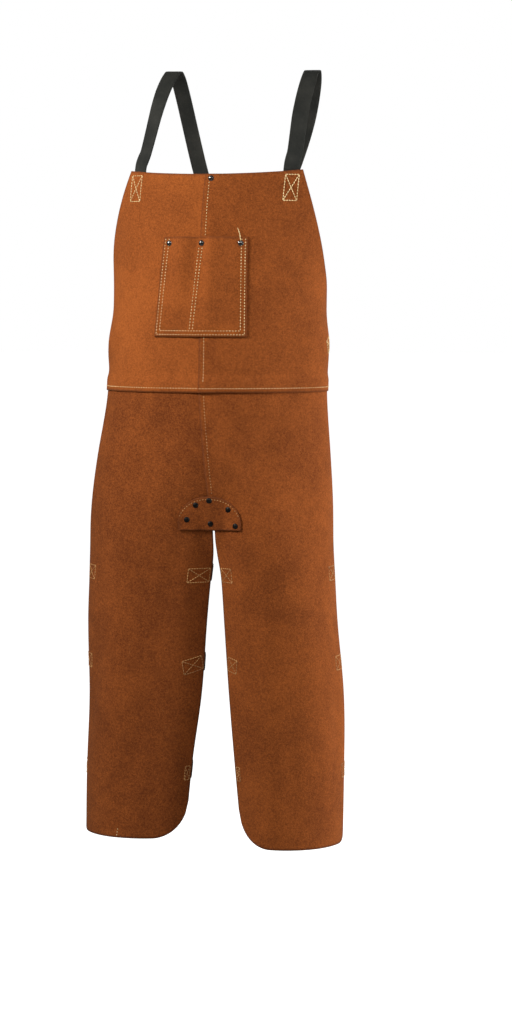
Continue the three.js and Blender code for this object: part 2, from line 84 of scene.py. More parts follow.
def make_camera():
    right = Vector((math.cos(VIEW_AZIMUTH), math.sin(VIEW_AZIMUTH), 0))
    level = Vector((math.sin(VIEW_AZIMUTH), -math.cos(VIEW_AZIMUTH), 0))
    back = level * math.cos(VIEW_ELEVATION) + Vector((0, 0, math.sin(VIEW_ELEVATION)))
    up = back.cross(right)
    aim = right * VIEW_CENTRE[0] + up * VIEW_CENTRE[1]
    data = bpy.data.cameras.new("camera")
    data.sensor_fit = "VERTICAL"
    data.sensor_height = SENSOR
    data.lens = SENSOR * VIEW_DISTANCE / VIEW_HEIGHT
    camera = bpy.data.objects.new("camera", data)
    bpy.context.scene.collection.objects.link(camera)
    turn = Matrix((right, up, back)).transposed().to_4x4()
    camera.matrix_world = Matrix.Translation(aim + back * VIEW_DISTANCE) @ turn
    bpy.context.scene.camera = camera


def soft_light(name, place, aim, size, watts, colour=(1, 1, 1)):
    data = bpy.data.lights.new(name, "AREA")
    data.shape = "RECTANGLE"
    data.size, data.size_y = size
    data.energy = watts
    data.color = colour
    light = bpy.data.objects.new(name, data)
    bpy.context.scene.collection.objects.link(light)
    light.location = place
    light.rotation_euler = (Vector(aim) - Vector(place)).to_track_quat("-Z", "Y").to_euler()


def new_material(name):
    """A material with its node tree and its shader."""
    material = bpy.data.materials.new(name)
    material.use_nodes = True
    return material, material.node_tree, material.node_tree.nodes["Principled BSDF"]


def camera_only(tree, low, high, target):
    """Gives the target the value high where the camera sees it, and low for all other light."""
    seen, level = tree.nodes.new("ShaderNodeLightPath"), tree.nodes.new("ShaderNodeMapRange")
    level.inputs["To Min"].default_value, level.inputs["To Max"].default_value = low, high
    tree.links.new(seen.outputs["Is Camera Ray"], level.inputs["Value"])
    tree.links.new(level.outputs["Result"], target)


def make_sweep():
    bm = bmesh.new()
    bmesh.ops.create_grid(bm, x_segments=1, y_segments=1, size=FLOOR_HALF,
                          matrix=Matrix.Translation((0, 0, cad_bounds[0][2] - FLOOR_DROP)))
    mesh = bpy.data.meshes.new("studio_floor")
    bm.to_mesh(mesh)
    bm.free()
    floor = bpy.data.objects.new("studio_floor", mesh)
    bpy.context.scene.collection.objects.link(floor)
    paper, tree, shader = new_material("studio_paper")
    shader.inputs["Base Color"].default_value = PAPER_GREY
    shader.inputs["Roughness"].default_value = 0.9
    shader.inputs["Emission Color"].default_value = WHITE
    camera_only(tree, 0, FLOOR_GLOW, shader.inputs["Emission Strength"])
    mesh.materials.append(paper)
    world = bpy.data.worlds.new("studio")
    world.use_nodes = True
    background = world.node_tree.nodes["Background"]
    camera_only(world.node_tree, ROOM_LIGHT, 1.0, background.inputs["Strength"])
    background.inputs["Color"].default_value = WHITE
    bpy.context.scene.world = world
    bpy.context.scene.view_settings.view_transform = "Standard"


make_camera()
make_sweep()
soft_light("key_light", (-1.40, -1.30, 0.55), (-0.08, 0, -0.20), (0.6, 0.6), 50, DAYLIGHT)
soft_light("side_light", (2.0, 0.05, -0.40), (0.1, 0, -0.75), (0.8, 1.8), 52, DAYLIGHT)
soft_light("fill_light", (0.6, -2.0, 0.7), (0.05, 0, -0.30), (0.9, 0.9), 14)
soft_light("back_light", (0.4, 2.6, 0.8), (0, 0, -0.6), (1.6, 1.6), 30)


# ---- Bib -------------------------------------------------------------------------------------
# Two pieces of split cowhide, 1.8 mm thick with the nap out, lapped and sewn at the centre.
# The bib narrows upwards from its widest point at the ribs. Lengths on the leather are in
# millimetres: s goes outwards from the centre seam, and z is the height on the worn apron.

MM = 0.001
WELD = 1e-6
LEATHER = 1.8
LAYER = 2.15
BIB_TOP = -160.0
BIB_DIP = 7.0
BIB_TOP_HALF = 146.0
EAR = -411.0
WAIST = -498.0
WAIST_LAP = 8.0
SPLIT = -727.0
HALF_WIDTH = 254.0
SEAM_LAP = 6.0
SEAM_STEP = 28.0
GRID = 4.0
FRONT_LENGTH = 60.0

# height, side lean, turn about Z in degrees, half width, half depth of the wearer's trunk
TRUNK = [
    (0, 0, 8, 180, 96), (-165, -22, 7, 185, 112), (-260, -32, 5.5, 178, 115),
    (-375, -37, 4, 171, 118), (-430, -39, 3.2, 177, 118), (-512, -42, 2, 176, 117),
    (-620, -47, -4, 187, 118), (-735, -49, -8, 196, 118), (-800, -49, -8, 196, 118),
]
# height, inner side, outer side and half depth of the wearer's legs
LEGS = {
    -1: [(-600, -31, -244, 112), (-735, -31, -245, 110), (-805, -39, -247, 106),
         (-869, -45, -249, 104), (-983, -54, -247, 100), (-1097, -70, -251, 97),
         (-1230, -83, -254, 94)],
    1: [(-600, -31, 145, 112), (-735, -31, 145, 110), (-805, -24, 148, 106),
        (-869, -20, 152, 104), (-983, -13, 162, 100), (-1097, -4, 164, 97),
        (-1230, 8, 161, 94)],
}
INNER_TURN = math.radians(40)
LEG_CENTRE_Y = -6.0
LEG_FROM = -600.0
LEG_TO = -782.0
BRIDGE = 34.0
BRIDGE_FADE_IN, BRIDGE_FADE_OUT = 60.0, 70.0
NORMAL_REACH = 7.0
TURN_STEPS = 48


def smooth(x, low, high):
    t = np.clip((x - low) / (high - low), 0, 1)
    return t * t * (3 - 2 * t)


def lerp(a, b, t):
    return a + (b - a) * t


def along(stations, z):
    """The stations' columns at the heights z, on a smooth curve through the stations."""
    rows = np.array(stations, float)
    z = np.clip(z, rows[-1, 0], rows[0, 0])
    last = len(rows) - 1
    i = np.clip(np.searchsorted(-rows[:, 0], -z, side="left"), 1, last)
    a, b = rows[i - 1], rows[i]
    before, after = rows[np.maximum(i - 2, 0)], rows[np.minimum(i + 1, last)]
    span = (b[..., 0] - a[..., 0])[..., None]
    t = ((z - a[..., 0])[..., None]) / span
    slope_a = (b - before) / (b - before)[..., :1] * span
    slope_b = (after - a) / (after - a)[..., :1] * span
    value = ((2 * t**3 - 3 * t**2 + 1) * a + (t**3 - 2 * t**2 + t) * slope_a
             + (3 * t**2 - 2 * t**3) * b + (t**3 - t**2) * slope_b)
    return np.moveaxis(value[..., 1:], -1, 0)


def turn_after(half_width, half_depth, start, length):
    """The turn reached on an ellipse by going a length round it from the start."""
    turn = np.full(np.shape(length), start, float)
    step = length / TURN_STEPS
    for _ in range(TURN_STEPS):
        middle = turn + step / 2 / np.hypot(half_width * np.sin(turn), half_depth * np.cos(turn))
        turn = turn + step / np.hypot(half_width * np.sin(middle), half_depth * np.cos(middle))
    return turn


def on_trunk(sign, s, z):
    lean, yaw, half_width, half_depth = along(TRUNK, z)
    turn = turn_after(half_width, half_depth, math.pi / 2, s)
    x, y, a = -sign * half_width * np.cos(turn), -half_depth * np.sin(turn), np.radians(yaw)
    return np.stack([lean + x * np.cos(a) + y * np.sin(a), y * np.cos(a) - x * np.sin(a), z], -1)


def reach_across(turn):
    """Cosine of the turn, held back on the inner thigh so that the two legs stay apart."""
    start, end = math.pi * 1.5, math.pi * 2 + INNER_TURN
    held = math.cos(INNER_TURN) * np.sin(math.pi / 2 * (turn - start) / (end - start))
    return np.where((turn > start) & (turn < end), held, np.cos(turn))


def on_leg(sign, s, z):
    inner, outer, half_depth = along(LEGS[sign], z)
    half_width = np.abs(outer - inner) / (1 + math.cos(INNER_TURN))
    turn = turn_after(half_width, half_depth, INNER_TURN, s)
    x = outer - sign * half_width * (1 + reach_across(turn))
    return np.stack([x, LEG_CENTRE_Y - half_depth * np.sin(turn), z], -1)


def on_body(sign, s, z):
    share = smooth(-z, -LEG_FROM, -LEG_TO)[..., None]
    return lerp(on_trunk(sign, s, z), on_leg(sign, s, z), share)


def one_side(sign, s, z):
    """A point on one side, with the leather bridging the hollow between the thighs."""
    p = on_body(sign, s, z)
    ease = smooth(-z, -LEG_FROM, BRIDGE_FADE_IN - LEG_FROM)
    ease = ease * (1 - smooth(-z, -SPLIT, BRIDGE_FADE_OUT - SPLIT))
    near, far = on_body(sign, np.full_like(s, BRIDGE), z), on_body(-sign, np.full_like(s, BRIDGE), z)
    dip = (on_body(sign, np.zeros_like(s), z) - (near + far) / 2)
    t = (s / BRIDGE)[..., None]
    bridge = lerp(near, far, 0.5 - t / 2) + dip * 0.5 * (1 - t**2)
    use = np.where((s <= BRIDGE) & (s >= 0), ease, 0)[..., None]
    return lerp(p, bridge, use)


def worn(sign, s, z):
    """The bare worn form. Above the split a negative s lies past the seam, on the other side."""
    across_seam = (s < 0) & (z > SPLIT)
    if not across_seam.any():
        return one_side(sign, s, z)
    return np.where(across_seam[..., None], one_side(-sign, -s, z), one_side(sign, s, z))


def outward(sign, s, z):
    inner = np.where(z > SPLIT, s - NORMAL_REACH, np.maximum(0, s - NORMAL_REACH))
    across = worn(sign, s + NORMAL_REACH, z) - worn(sign, inner, z)
    down = worn(sign, s, z - 1) - worn(sign, s, z + 1)
    normal = np.cross(down, across) * sign
    return normal / np.linalg.norm(normal, axis=-1, keepdims=True)


# Soft folds: side, length from the seam, height, half length, half width, lean in degrees, depth
FOLDS = [
    (-1, 120, -300, 120, 16, 12, -1.2), (-1, 60, -470, 60, 14, 70, -1.3),
    (-1, 180, -450, 70, 13, 60, -1.6), (1, 150, -455, 75, 14, -60, -1.5),
    (1, 120, -230, 90, 18, -14, -1.1), (1, 200, -380, 70, 15, -20, 1.6),
    (-1, 90, -600, 80, 20, 28, -2.2), (1, 80, -610, 80, 20, -26, -2.2),
    (-1, 70, -800, 130, 17, 6, -2.4), (-1, 150, -900, 190, 22, -3, 2.0),
    (-1, 100, -1080, 110, 18, 5, -2.2), (1, 70, -830, 140, 17, -5, -2.4),
    (1, 150, -930, 170, 22, 3, 2.0), (1, 105, -1090, 110, 18, -4, -2.2),
    (-1, 200, -1000, 120, 16, 4, -1.8), (1, 205, -1010, 120, 16, -4, -1.8),
]


def folds(sign, s, z):
    depth = 0.7 * np.sin(s / 31 + z / 67 + sign) * np.sin(z / 83 + s / 97)
    for side, s0, z0, length, width, lean, height in FOLDS:
        a = math.radians(lean)
        across = (s - s0) * math.cos(a) + (z - z0) * math.sin(a)
        up = (z - z0) * math.cos(a) - (s - s0) * math.sin(a)
        bump = height * np.exp(-((across / width) ** 2) - (up / length) ** 2)
        depth = depth + np.where(side == sign, bump, 0)
    near_seam = smooth(np.abs(s), 10, 45)
    return depth * near_seam


def on_leather(sign, s, z, offset):
    """Points in metres, offset outwards from the middle of the bottom layer of leather."""
    s, z, offset = np.broadcast_arrays(*(np.asarray(v, float) for v in (s, z, offset)))
    lift = (offset + folds(sign, s, z))[..., None]
    return (worn(sign, s, z) + outward(sign, s, z) * lift) * MM


def seam_step(s, near, far):
    return np.where(s <= SEAM_LAP, near, lerp(far, near, smooth(SEAM_STEP - s, 0, SEAM_STEP - SEAM_LAP)))


def thicken(bm, wanted):
    """Turns a sheet's faces the wanted way and gives it the leather's thickness behind them."""
    bm.normal_update()
    bm.faces.ensure_lookup_table()
    if bm.faces[len(bm.faces) // 2].normal.dot(Vector(wanted)) < 0:
        bmesh.ops.reverse_faces(bm, faces=bm.faces[:])
    bmesh.ops.solidify(bm, geom=bm.faces[:], thickness=-LEATHER * MM)


def place_sheet(bm, points, near):
    """Moves a sheet's vertices to points. The value cut_edge is the distance in mm from the cut."""
    cut = bm.verts.layers.float.new("cut_edge")
    for i, vert in enumerate(bm.verts):
        vert.co = points[i]
        vert[cut] = near[i]


def finished(name, bm, material, body=None, smooth_shade=True):
    mesh = bpy.data.meshes.new(name)
    for face in bm.faces:
        face.smooth = smooth_shade
    bm.to_mesh(mesh)
    bm.free()
    mesh.materials.append(material)
    piece = bpy.data.objects.new(name, mesh)
    bpy.context.scene.collection.objects.link(piece)
    if body:
        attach(piece, body)
    return piece


def leather_sheet(columns, rows, lay):
    """A closed sheet of leather. lay(u, v) gives side, length, height and offset for shares of
    the way outwards and down."""
    bm = bmesh.new()
    bmesh.ops.create_grid(bm, x_segments=columns, y_segments=rows, size=0.5)
    u = np.array([v.co.x + 0.5 for v in bm.verts])
    v = np.array([0.5 - v.co.y for v in bm.verts])
    sign, s, z, offset = lay(u, v)
    width, height = np.ptp(s), np.ptp(z)
    near = np.minimum.reduce([u * width, (1 - u) * width, v * height, (1 - v) * height])
    place_sheet(bm, on_leather(sign, s, z, offset - LEATHER / 2), near)
    lies = bm.loops.layers.uv.new("leather")
    for face in bm.faces:
        for loop in face.loops:
            i = loop.vert.index
            loop[lies].uv = (sign * s[i] * MM, z[i] * MM)
    thicken(bm, outward(sign, np.full(1, FRONT_LENGTH), z[:1])[0])
    return bm


def add_socket(tree, name, kind, way, value=None):
    socket = tree.interface.new_socket(name=name, in_out=way, socket_type=kind)
    if value is not None:
        socket.default_value = value
    return socket


def link(tree, source, target):
    tree.links.new(source, target)


def math_node(tree, kind, a, b=None, clamp=False):
    node = tree.nodes.new("ShaderNodeMath")
    node.operation = kind
    node.use_clamp = clamp
    for socket, value in zip(node.inputs, (a, b)):
        if value is None:
            continue
        if isinstance(value, (int, float)):
            socket.default_value = value
        else:
            link(tree, value, socket)
    return node.outputs[0]


def noise_node(tree, vector, scale, detail=4, roughness=0.55, distortion=0.0):
    node = tree.nodes.new("ShaderNodeTexNoise")
    node.inputs["Detail"].default_value = detail
    node.inputs["Roughness"].default_value = roughness
    node.inputs["Distortion"].default_value = distortion
    link(tree, vector, node.inputs["Vector"])
    if isinstance(scale, (int, float)):
        node.inputs["Scale"].default_value = scale
    else:
        link(tree, scale, node.inputs["Scale"])
    return node.outputs["Fac"]


def blend_node(tree, a, share_a, b, share_b):
    """A weighted sum of two values."""
    return math_node(tree, "ADD", math_node(tree, "MULTIPLY", a, share_a),
                     math_node(tree, "MULTIPLY", b, share_b))


def object_place(tree):
    return tree.nodes.new("ShaderNodeTexCoord").outputs["Object"]


def add_bump(tree, shader, height, strength, distance):
    bump = tree.nodes.new("ShaderNodeBump")
    bump.inputs["Strength"].default_value = strength
    bump.inputs["Distance"].default_value = distance
    link(tree, height, bump.inputs["Height"])
    link(tree, bump.outputs["Normal"], shader.inputs["Normal"])


def range_node(tree, value, low, high, to_low=0.0, to_high=1.0):
    node = tree.nodes.new("ShaderNodeMapRange")
    node.interpolation_type = "SMOOTHSTEP"
    link(tree, value, node.inputs["Value"])
    for name, number in (("From Min", low), ("From Max", high), ("To Min", to_low), ("To Max", to_high)):
        node.inputs[name].default_value = number
    return node.outputs["Result"]


def mix_colour(tree, share, a, b, kind="MIX"):
    node = tree.nodes.new("ShaderNodeMix")
    node.data_type = "RGBA"
    node.blend_type = kind
    for socket, value in zip((node.inputs[0], node.inputs[6], node.inputs[7]), (share, a, b)):
        if isinstance(value, (int, float, tuple)):
            socket.default_value = value
        else:
            link(tree, value, socket)
    return node.outputs[2]


def suede_group():
    """Nap of split cowhide: a height, a light and dark mask from the brushed fibres, and a
    slow mottle from the hide and its dye."""
    tree = bpy.data.node_groups.new("suede_nap", "ShaderNodeTree")
    add_socket(tree, "Vector", "NodeSocketVector", "INPUT")
    add_socket(tree, "Fibre Scale", "NodeSocketFloat", "INPUT", 640.0)
    for name in ("Height", "Nap", "Mottle", "Scuff"):
        add_socket(tree, name, "NodeSocketFloat", "OUTPUT")
    inside = tree.nodes.new("NodeGroupInput")
    out = tree.nodes.new("NodeGroupOutput")
    place, scale = inside.outputs["Vector"], inside.outputs["Fibre Scale"]
    fibres = noise_node(tree, place, scale, 6, 0.75, 0.6)
    clumps = noise_node(tree, place, math_node(tree, "MULTIPLY", scale, 0.55), 5, 0.7, 0.7)
    hide = noise_node(tree, place, 9.0, 4, 0.6, 0.8)
    patches = noise_node(tree, place, 34.0, 5, 0.62, 0.5)
    mottle = blend_node(tree, hide, 0.6, patches, 0.4)
    nap = blend_node(tree, fibres, 0.55, clumps, 0.45)
    height = blend_node(tree, fibres, 0.4, clumps, 0.6)
    streaks = tree.nodes.new("ShaderNodeMapping")
    streaks.inputs["Scale"].default_value = (1.0, 1.0, 0.22)
    streaks.inputs["Rotation"].default_value = (0.3, 0.5, 0.4)
    link(tree, place, streaks.inputs["Vector"])
    scuff = range_node(tree, noise_node(tree, streaks.outputs["Vector"], 95.0, 6, 0.72, 2.0), 0.62, 0.78)
    for name, value in (("Height", height), ("Nap", nap), ("Mottle", mottle), ("Scuff", scuff)):
        link(tree, value, out.inputs[name])
    return tree


SUEDE_NAP = suede_group()
FIBRE_SCALE = 640.0
HIDE_DARK = (0.120, 0.029, 0.0065, 1)
HIDE_LIGHT = (0.370, 0.098, 0.0190, 1)
HIDE_SCUFF = (0.50, 0.180, 0.050, 1)
# Colour of the darker cut edges, also serving as a painted shadow line along lapped edges.
HIDE_CUT_AND_PAINTED_SHADOW = (0.090, 0.026, 0.010, 1)


def suede(name, tone_and_painted_light):
    """Brown split cowhide: the second value goes from 0, dark, to 1, light. It is the leather's tone, and
    for the bib halves and the legs it also holds painted light and shade.
    """
    material, tree, shader = new_material(name)
    nap = tree.nodes.new("ShaderNodeGroup")
    nap.node_tree = SUEDE_NAP
    nap.inputs["Fibre Scale"].default_value = FIBRE_SCALE
    link(tree, object_place(tree), nap.inputs["Vector"])
    tone = range_node(tree, nap.outputs["Mottle"], 0.30, 0.70, tone_and_painted_light - 0.17, tone_and_painted_light + 0.17)
    grain = range_node(tree, nap.outputs["Nap"], 0.38, 0.62, -0.34, 0.34)
    base = mix_colour(tree, math_node(tree, "ADD", tone, grain, clamp=True), HIDE_DARK, HIDE_LIGHT)
    worn_nap = mix_colour(tree, math_node(tree, "MULTIPLY", nap.outputs["Scuff"], 0.30), base, HIDE_SCUFF)
    # Darker within 5 mm of a cut: the leather's darker cut edges, and a painted shadow line where a lapped
    # edge lies over the piece below.
    cut = tree.nodes.new("ShaderNodeAttribute")
    cut.attribute_name = "cut_edge"
    dark_cut_and_painted_shadow = range_node(tree, cut.outputs["Fac"], 0.0, 5.0, 0.55, 0.0)
    colour = mix_colour(tree, dark_cut_and_painted_shadow, worn_nap, HIDE_CUT_AND_PAINTED_SHADOW)
    link(tree, colour, shader.inputs["Base Color"])
    link(tree, range_node(tree, nap.outputs["Nap"], 0.3, 0.7, 0.98, 0.84), shader.inputs["Roughness"])
    shader.inputs["Specular IOR Level"].default_value = 0.08
    shader.inputs["Sheen Weight"].default_value = 0.06
    shader.inputs["Sheen Roughness"].default_value = 0.55
    shader.inputs["Sheen Tint"].default_value = (1.0, 0.55, 0.3, 1)
    add_bump(tree, shader, nap.outputs["Height"], 0.55, 0.0011)
    return material


# The two bib halves are the same leather at two lightnesses: the lighter half on the wearer's right is
# painted light from the key lamp, and the darker left half is painted shade.
bib_suede_painted_light = {-1: suede("bib_suede_right_painted_lit", 0.62), 1: suede("bib_suede_left_painted_shade", 0.44)}
SIDES = {-1: "right", 1: "left"}


def bib_half(z):
    return np.where(z > EAR, lerp(HALF_WIDTH, BIB_TOP_HALF, (z - EAR) / (BIB_TOP - EAR)), HALF_WIDTH)


def bib_offset(sign, s, z):
    over_hips = smooth(-z, -WAIST - WAIST_LAP - 14, -WAIST - WAIST_LAP) * seam_step(s, 2.0, 1.0)
    over_bib = seam_step(s, 1.0, 0.0) if sign > 0 else 0.0
    return LAYER * (over_hips + over_bib)


def lay_bib(sign):
    def lay(u, v):
        z = lerp(BIB_TOP, WAIST - WAIST_LAP, v)
        s = lerp(-SEAM_LAP, bib_half(z), u)
        z = z - BIB_DIP * (1 - (s / BIB_TOP_HALF) ** 2) * (1 - smooth(v, 0, 0.12)) * (s < BIB_TOP_HALF)
        return sign, s, z, bib_offset(sign, s, z)
    return lay


for sign, side in SIDES.items():
    columns, rows = round(HALF_WIDTH / GRID), round((BIB_TOP - WAIST) / GRID)
    bib = finished(f"bib_{side}", leather_sheet(columns, rows, lay_bib(sign)), bib_suede_painted_light[sign],
                   "apron")
    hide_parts(f"bib_panel_{side}")


# ---- Hips and legs ---------------------------------------------------------------------------
# One long piece of the same leather on each side, sewn to the other down to the split and cut
# free below it. The hem's corners are round.

HEM = {-1: -1214.0, 1: -1227.0}
HEM_CORNER = 58.0
SPLIT_GAP = 2.5
VALLEY_STEP = 0.42
# Both legs are darker than the bib as painted shade for the light falling off downwards, and the wearer's
# right leg is darker still as a painted shadow.
leg_suede_painted_shade = {-1: suede("leg_suede_right_painted_shade", 0.27), 1: suede("leg_suede_left_painted_shade", 0.38)}


def hip_offset(sign, s, z):
    if sign < 0:
        return np.zeros_like(s)
    lapped = 1 - smooth(-z, -SPLIT, 30 - SPLIT)
    valley = VALLEY_STEP * smooth(-z, -LEG_FROM, -SPLIT)
    return LAYER * seam_step(s, 1.0 + valley, 0.0) * lapped


def lay_leg(sign):
    def lay(u, v):
        top = WAIST + WAIST_LAP
        level = lerp(top, HEM[sign], v)
        inner = np.where(level > SPLIT, -SEAM_LAP, SPLIT_GAP)
        s = lerp(inner, HALF_WIDTH, u)
        inside = np.maximum(0, HEM_CORNER - np.minimum(s - SPLIT_GAP, HALF_WIDTH - s).clip(0))
        rise = HEM_CORNER - np.sqrt(np.maximum(HEM_CORNER**2 - inside**2, 0))
        z = lerp(top, HEM[sign] + rise, v)
        return sign, s, z, hip_offset(sign, s, z)
    return lay


for sign, side in SIDES.items():
    columns, rows = round(HALF_WIDTH / GRID), round((WAIST - HEM[sign]) / GRID)
    leg = finished(f"leg_{side}", leather_sheet(columns, rows, lay_leg(sign)), leg_suede_painted_shade[sign])
    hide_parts(f"hip_panel_{side}", f"leg_panel_{side}")
    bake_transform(leg)


# ---- Pocket ----------------------------------------------------------------------------------
# One piece of leather on the chest, sewn with two rows and split into a narrow and a wide
# compartment. It gapes a little at the mouth and is tight at the three rivets.

POCKET_TOP, POCKET_BOTTOM = -264.0, -419.0
POCKET_RIGHT, POCKET_LEFT, POCKET_FLARE = -66.0, 68.0, -14.0
POCKET_CLEAR, POCKET_SPAN = 0.4, 140.0
POCKET_GAPE, POCKET_FLAT = 6.5, 14.0
POCKET_RIDGE, RIDGE_AT, RIDGE_WIDTH = 3.0, 11.0, 11.0
DIVIDER_TOP, DIVIDER_BOTTOM, DIVIDER_FLAT = -4.0, -18.0, 5.0
TO_FRONT = (0, -1, 0)


def both_sides(q, z, offset):
    """Points for signed lengths q from the centre seam, + toward the wearer's left."""
    q, z, offset = np.broadcast_arrays(*(np.asarray(v, float) for v in (q, z, offset)))
    right = on_leather(-1, np.abs(q), z, offset)
    left = on_leather(1, np.abs(q), z, offset)
    return np.where((q < 0)[..., None], right, left)


def over_seam(q):
    return 1 + seam_step(np.abs(q), 1.0, 0.0)


def pocket_offset(q, z):
    down = (z - POCKET_TOP) / (POCKET_BOTTOM - POCKET_TOP)
    right = POCKET_RIGHT + POCKET_FLARE * down
    divider = lerp(DIVIDER_TOP, DIVIDER_BOTTOM, down)
    narrow = (right + POCKET_FLAT, divider - DIVIDER_FLAT)
    wide = (divider + DIVIDER_FLAT, POCKET_LEFT - POCKET_FLAT)
    in_narrow = q < divider
    start = np.where(in_narrow, narrow[0], wide[0])
    end = np.where(in_narrow, narrow[1], wide[1])
    share = np.clip((q - start) / (end - start), 0, 1)
    gape = POCKET_GAPE * np.sin(np.pi * share) ** 1.3 * smooth(1 - down, 0.05, 0.9)
    ridge = POCKET_RIDGE * np.exp(-((q - RIDGE_AT) / RIDGE_WIDTH) ** 2) * smooth(1 - down, 0.02, 0.25)
    ridge = ridge * smooth(share, 0, 0.2) * smooth(1 - share, 0, 0.2)
    return LAYER * over_seam(q) + POCKET_CLEAR + gape + ridge


pocket_suede = suede("pocket_suede", 0.56)


def pocket_sheet():
    bm = bmesh.new()
    bmesh.ops.create_grid(bm, x_segments=72, y_segments=76, size=0.5)
    u = np.array([v.co.x + 0.5 for v in bm.verts])
    down = np.array([0.5 - v.co.y for v in bm.verts])
    z = lerp(POCKET_TOP, POCKET_BOTTOM, down)
    q = lerp(POCKET_RIGHT + POCKET_FLARE * down, POCKET_LEFT, u)
    near = POCKET_SPAN * np.minimum.reduce([u, 1 - u, down, 1 - down])
    place_sheet(bm, both_sides(q, z, pocket_offset(q, z) - LEATHER / 2), near)
    thicken(bm, TO_FRONT)
    return bm


pocket = finished("pocket", pocket_sheet(), pocket_suede, "apron")
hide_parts("chest_pocket")


# ---- Crotch patch ----------------------------------------------------------------------------
# A half-moon of leather over the top of the split, held by six rivets and a row of stitches. It
# keeps the centre seam from tearing open when the legs part.

PATCH_CENTRE, PATCH_HALF = -4.0, 58.0
PATCH_BOTTOM, PATCH_END, PATCH_RISE = -721.0, 8.0, 46.0
PATCH_TALL = PATCH_END + PATCH_RISE
PATCH_CLEAR, PATCH_SPAN = 0.3, 48.0
patch_suede = suede("patch_suede", 0.34)


def patch_offset(q):
    return LAYER * (over_seam(q) + VALLEY_STEP) + PATCH_CLEAR


def patch_height(q):
    across = (q - PATCH_CENTRE) / PATCH_HALF
    return PATCH_END + PATCH_RISE * np.sqrt(np.clip(1 - across**2, 0, 1))


def patch_sheet():
    bm = bmesh.new()
    bmesh.ops.create_grid(bm, x_segments=48, y_segments=24, size=0.5)
    u = np.array([v.co.x * 2 for v in bm.verts])
    up = np.array([v.co.y + 0.5 for v in bm.verts])
    q = PATCH_CENTRE + PATCH_HALF * np.sin(u * np.pi / 2)
    z = PATCH_BOTTOM + patch_height(q) * up
    near = np.minimum.reduce([PATCH_SPAN * (1 - np.abs(u)) ** 2, PATCH_TALL * up, PATCH_TALL * (1 - up)])
    place_sheet(bm, both_sides(q, z, patch_offset(q) - LEATHER / 2), near)
    thicken(bm, TO_FRONT)
    return bm


patch = finished("patch", patch_sheet(), patch_suede, "apron")
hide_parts("crotch_patch")


# ---- Rivets ----------------------------------------------------------------------------------
# Black-nickel steel caps, 8.8 mm across, with a thin rim pressed into the leather. The patch's
# six are older and dull. A profile row is a radius and a height above the leather in mm.

def rivet_metal(name, bright, dark, roughness):
    material, tree, shader = new_material(name)
    place = object_place(tree)
    speckle = noise_node(tree, place, 900.0, 4, 0.6)
    smear = noise_node(tree, place, 160.0, 5, 0.6, 1.0)
    tarnish = range_node(tree, smear, 0.4, 0.62)
    link(tree, mix_colour(tree, tarnish, bright, dark), shader.inputs["Base Color"])
    link(tree, range_node(tree, speckle, 0.35, 0.7, roughness, roughness + 0.16), shader.inputs["Roughness"])
    shader.inputs["Metallic"].default_value = 0.92
    add_bump(tree, shader, speckle, 0.15, 0.0002)
    return material


black_nickel = rivet_metal("black_nickel", (0.150, 0.142, 0.135, 1), (0.045, 0.042, 0.040, 1), 0.14)
dull_nickel = rivet_metal("dull_nickel", (0.022, 0.020, 0.019, 1), (0.010, 0.009, 0.008, 1), 0.42)
RIVET_STEPS = 28
RIVET_PROFILE = [(0, 1.75), (1.2, 1.7), (2.4, 1.45), (3.3, 1.0), (3.75, 0.55), (4.35, 0.42), (4.45, 0.2),
                 (4.4, -0.9), (0, -0.9)]


def rivet(name, node, q, z, offset, metal=black_nickel):
    bm = bmesh.new()
    chain = [bm.verts.new((r * MM, 0, h * MM)) for r, h in RIVET_PROFILE]
    edges = [bm.edges.new(pair) for pair in zip(chain, chain[1:])]
    bmesh.ops.spin(bm, geom=chain + edges, axis=(0, 0, 1), cent=(0, 0, 0), steps=RIVET_STEPS,
                   angle=math.tau, use_merge=True)
    bmesh.ops.remove_doubles(bm, verts=bm.verts[:], dist=WELD)
    bmesh.ops.recalc_face_normals(bm, faces=bm.faces[:])
    sign = -1 if q < 0 else 1
    at = both_sides(np.array([q]), z, offset + LEATHER / 2)[0]
    normal = Vector(outward(sign, np.array([abs(q)]), np.array([float(z)]))[0])
    turn = normal.to_track_quat("Z", "Y").to_matrix().to_4x4()
    bmesh.ops.transform(bm, matrix=Matrix.Translation(at) @ turn, verts=bm.verts[:])
    cap = finished(name, bm, metal, "apron")
    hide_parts(node)
    return cap


rivet("rivet_seam", "seam_rivet", 4, -174, LAYER)
POCKET_RIVET_HEIGHT = -274.0
for part, q in (("right", -57), ("middle", -3), ("left", 57)):
    rivet(f"rivet_pocket_{part}", f"pocket_rivet_{part}", q, POCKET_RIVET_HEIGHT,
          float(pocket_offset(q, POCKET_RIVET_HEIGHT)))
PATCH_RIVETS = {"top": (-4, -673), "top_right": (-29, -681), "top_left": (31, -688),
                "low_right": (-47, -704), "middle": (-6, -710), "low_left": (45, -714)}
for part, (q, z) in PATCH_RIVETS.items():
    rivet(f"rivet_patch_{part}", f"patch_rivet_{part}", q, z, float(patch_offset(q)), dull_nickel)


# ---- Sewing ----------------------------------------------------------------------------------
# Aramid thread, 0.8 mm thick, about five stitches to the inch: cream on the bib, and soiled to
# tan on the legs and the patch. Each stitch dips into the leather at both ends.

PITCH = 4.7
STITCH = 2.2
THREAD = 0.80
CHAIN = 2.2
THREAD_LIFT = 0.12


